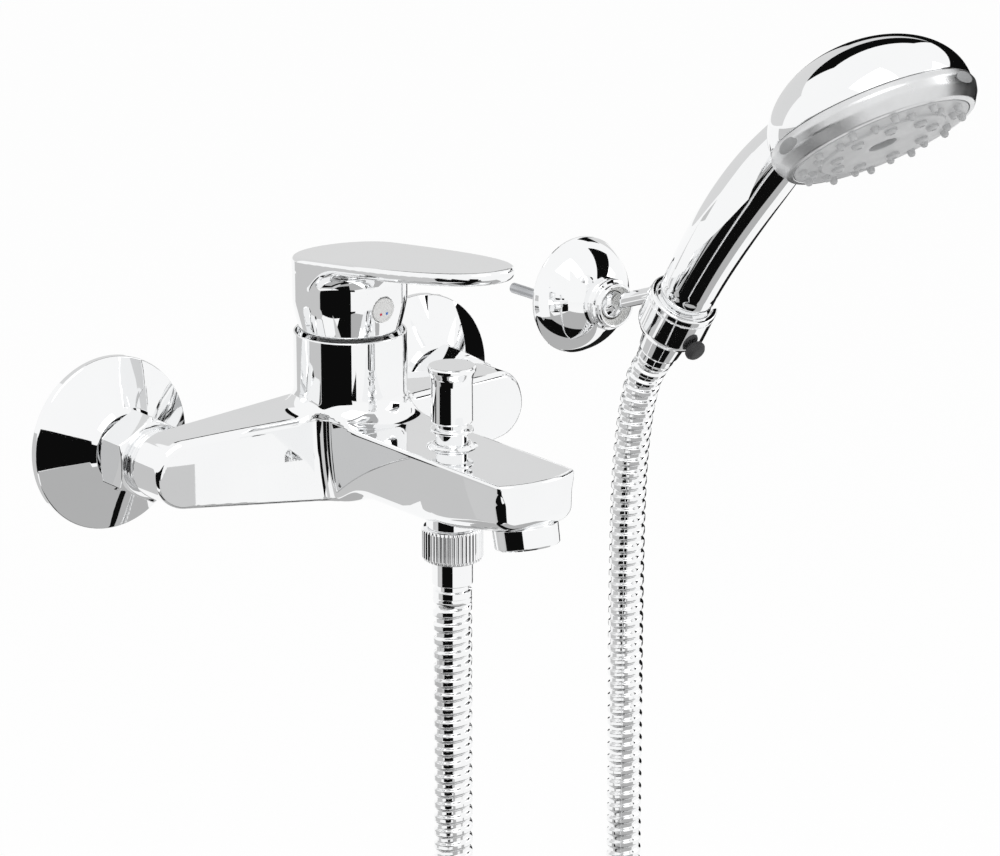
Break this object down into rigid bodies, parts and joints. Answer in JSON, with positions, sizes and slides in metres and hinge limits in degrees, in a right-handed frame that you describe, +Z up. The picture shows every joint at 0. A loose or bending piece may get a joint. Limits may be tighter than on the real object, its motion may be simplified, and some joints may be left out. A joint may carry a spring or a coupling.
{
  "type": "bath shower mixer",
  "caption": "Wall bath mixer with single lever, pull-up diverter and spout, metal shower hose, hand shower with turning spray ring and a swivelling wall bracket.",
  "frame": {"origin": "midway between the two inlet axes, on the wall's surface", "axes": "+X along the wall to the right, +Y into the wall, +Z up"},
  "size_m": [0.3135, 0.237, 0.6639],
  "materials": {
    "chrome": "polished chrome plate",
    "brass": "machined brass",
    "steel": "stainless steel",
    "rubber": "black rubber",
    "white_plastic": "moulded white plastic",
    "grey_plastic": "moulded grey plastic",
    "satin_ring": "satin silver plated plastic",
    "ceramic": "lapped alumina, its density stood in by plastic"
  },
  "bodies": {
    "mixer": {"mixer_body": "chrome", "wall_union_left": "chrome", "wall_union_right": "chrome", "rosette_left": "chrome", "rosette_right": "chrome", "union_nut_left": "chrome", "union_nut_right": "chrome", "inlet_washers": "rubber", "cartridge_housing": "white_plastic", "cartridge_seals": "rubber", "fixed_disc": "ceramic", "cartridge_nut": "brass", "diverter_bonnet": "brass", "diverter_spring": "steel", "aerator_housing": "chrome", "aerator_insert": "white_plastic", "aerator_washer": "rubber", "shower_nipple": "brass", "check_valve": "white_plastic", "hose_nut": "chrome", "hose_washer_lower": "rubber", "ferrule_lower": "chrome", "shower_hose": "chrome", "bracket_plate": "steel", "bracket_screws": "steel", "bracket_dome": "chrome", "bracket_collar": "chrome"},
    "turret": {"cartridge_turret": "grey_plastic", "stem_pin": "steel"},
    "lever": {"lever_stem": "steel", "lever_handle": "chrome", "lever_grub_screw": "steel", "index_plug": "white_plastic"},
    "discs": {"moving_disc": "ceramic", "disc_carrier": "grey_plastic"},
    "diverter": {"diverter_stem": "chrome", "diverter_seal": "rubber", "diverter_knob": "chrome"},
    "swivel_seat": {"ball_seat": "white_plastic"},
    "holder": {"ball_arm": "chrome", "holder_cup": "chrome", "holder_knob": "rubber"},
    "handset": {"handset_inlet": "chrome", "handset_handle": "chrome", "head_shell": "chrome", "spray_distributor": "white_plastic", "face_screw": "steel", "cone_nut": "chrome", "hose_washer_upper": "rubber", "ferrule_upper": "chrome"},
    "spray": {"spray_ring": "satin_ring", "spray_face": "grey_plastic", "spray_nozzles": "grey_plastic"}
  },
  "joints": [
    {"name": "lever_swivel", "type": "hinge", "parent": "mixer", "child": "turret", "pos_m": [0, -0.058, 0.05], "axis": [0, 0, 1], "range_deg": [-45, 45]},
    {"name": "lever_tilt", "type": "hinge", "parent": "turret", "child": "lever", "pos_m": [0, -0.058, 0.05], "axis": [-1, 0, 0], "range_deg": [0, 22]},
    {"name": "disc_slide", "type": "slide", "parent": "turret", "child": "discs", "axis": [0, -1, 0], "range_m": [0, 0.0094]},
    {"name": "diverter_pull", "type": "slide", "parent": "mixer", "child": "diverter", "axis": [0, 0, 1], "range_m": [0, 0.006], "stiffness_N_per_m": 300, "deforming": ["diverter_spring"]},
    {"name": "holder_pan", "type": "hinge", "parent": "mixer", "child": "swivel_seat", "pos_m": [0.162, -0.02, 0.02], "axis": [0, 0, 1], "range_deg": [-14, 14], "deforming": ["shower_hose"]},
    {"name": "holder_tilt", "type": "hinge", "parent": "swivel_seat", "child": "holder", "pos_m": [0.162, -0.02, 0.02], "axis": [1, 0, 0], "range_deg": [-14, 14], "deforming": ["shower_hose"]},
    {"name": "handset_lift", "type": "slide", "parent": "holder", "child": "handset", "axis": [0, -0.5299, 0.848], "range_m": [0, 0.035], "deforming": ["shower_hose"]},
    {"name": "spray_turn", "type": "hinge", "parent": "handset", "child": "spray", "pos_m": [0.162, -0.17455, 0.12693], "axis": [0, 0.5736, 0.8192], "range_deg": [-60, 60]}
  ],
  "couplings": [
    {"joint": "disc_slide", "follows": "lever_tilt", "m_per_rad": 0.02435}
  ]
}
